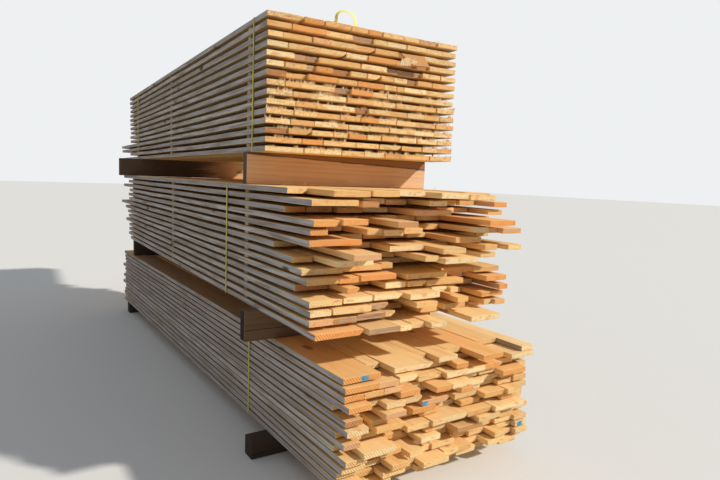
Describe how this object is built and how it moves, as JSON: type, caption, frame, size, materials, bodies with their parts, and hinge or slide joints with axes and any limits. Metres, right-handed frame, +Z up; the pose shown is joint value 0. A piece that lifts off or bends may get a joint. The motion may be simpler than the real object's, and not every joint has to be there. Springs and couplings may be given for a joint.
{
  "type": "stack of lumber",
  "caption": "Stack of sawn softwood boards in strapped packs, each row parted by cross sticks, the packs lying on deep bearers.",
  "frame": {"origin": "on the ground under the middle of the stack's bounding box", "axes": "+Z up, Y along the boards with the ragged near ends at -Y, X across the boards"},
  "size_m": [1.3794, 5.3566, 2.2567],
  "materials": {
    "board_wood": "rough sawn pine, pale yellow to orange, weathered grey on the long edges",
    "stick_wood": "rough sawn laths, grey brown",
    "bearer_wood": "rough sawn planks and beams, brown, dark at the ends",
    "strap_yellow": "woven plastic strap, dull yellow green"
  },
  "bodies": {
    "root": {"bottom_pack_row_01": "board_wood", "bottom_pack_row_02": "board_wood", "bottom_pack_row_03": "board_wood", "bottom_pack_row_04": "board_wood", "bottom_pack_row_05": "board_wood", "bottom_pack_row_06": "board_wood", "bottom_pack_row_07": "board_wood", "bottom_pack_row_08": "board_wood", "bottom_pack_row_09": "board_wood", "bottom_pack_row_10": "board_wood", "bottom_pack_row_11": "board_wood", "bottom_pack_row_12": "board_wood", "bottom_pack_row_13": "board_wood", "bottom_pack_row_14": "board_wood", "bottom_pack_row_15": "board_wood", "bottom_pack_sticks": "stick_wood", "bottom_pack_strap_1": "strap_yellow", "ground_bearer_far": "bearer_wood", "ground_bearer_near": "bearer_wood", "lower_bearer_far": "bearer_wood", "lower_bearer_near": "bearer_wood", "middle_pack_row_01": "board_wood", "middle_pack_row_02": "board_wood", "middle_pack_row_03": "board_wood", "middle_pack_row_04": "board_wood", "middle_pack_row_05": "board_wood", "middle_pack_row_06": "board_wood", "middle_pack_row_07": "board_wood", "middle_pack_row_08": "board_wood", "middle_pack_row_09": "board_wood", "middle_pack_row_10": "board_wood", "middle_pack_row_11": "board_wood", "middle_pack_row_12": "board_wood", "middle_pack_row_13": "board_wood", "middle_pack_row_14": "board_wood", "middle_pack_row_15": "board_wood", "middle_pack_sticks": "stick_wood", "middle_pack_strap_1": "strap_yellow", "top_pack_row_01": "board_wood", "top_pack_row_02": "board_wood", "top_pack_row_03": "board_wood", "top_pack_row_04": "board_wood", "top_pack_row_05": "board_wood", "top_pack_row_06": "board_wood", "top_pack_row_07": "board_wood", "top_pack_row_08": "board_wood", "top_pack_row_09": "board_wood", "top_pack_row_10": "board_wood", "top_pack_row_11": "board_wood", "top_pack_row_12": "board_wood", "top_pack_row_13": "board_wood", "top_pack_row_14": "board_wood", "top_pack_row_15": "board_wood", "top_pack_sticks": "stick_wood", "top_pack_strap_1": "strap_yellow", "top_pack_strap_2": "strap_yellow", "top_pack_strap_loop": "strap_yellow", "upper_bearer_far": "bearer_wood", "upper_bearer_near": "bearer_wood"}
  },
  "joints": []
}
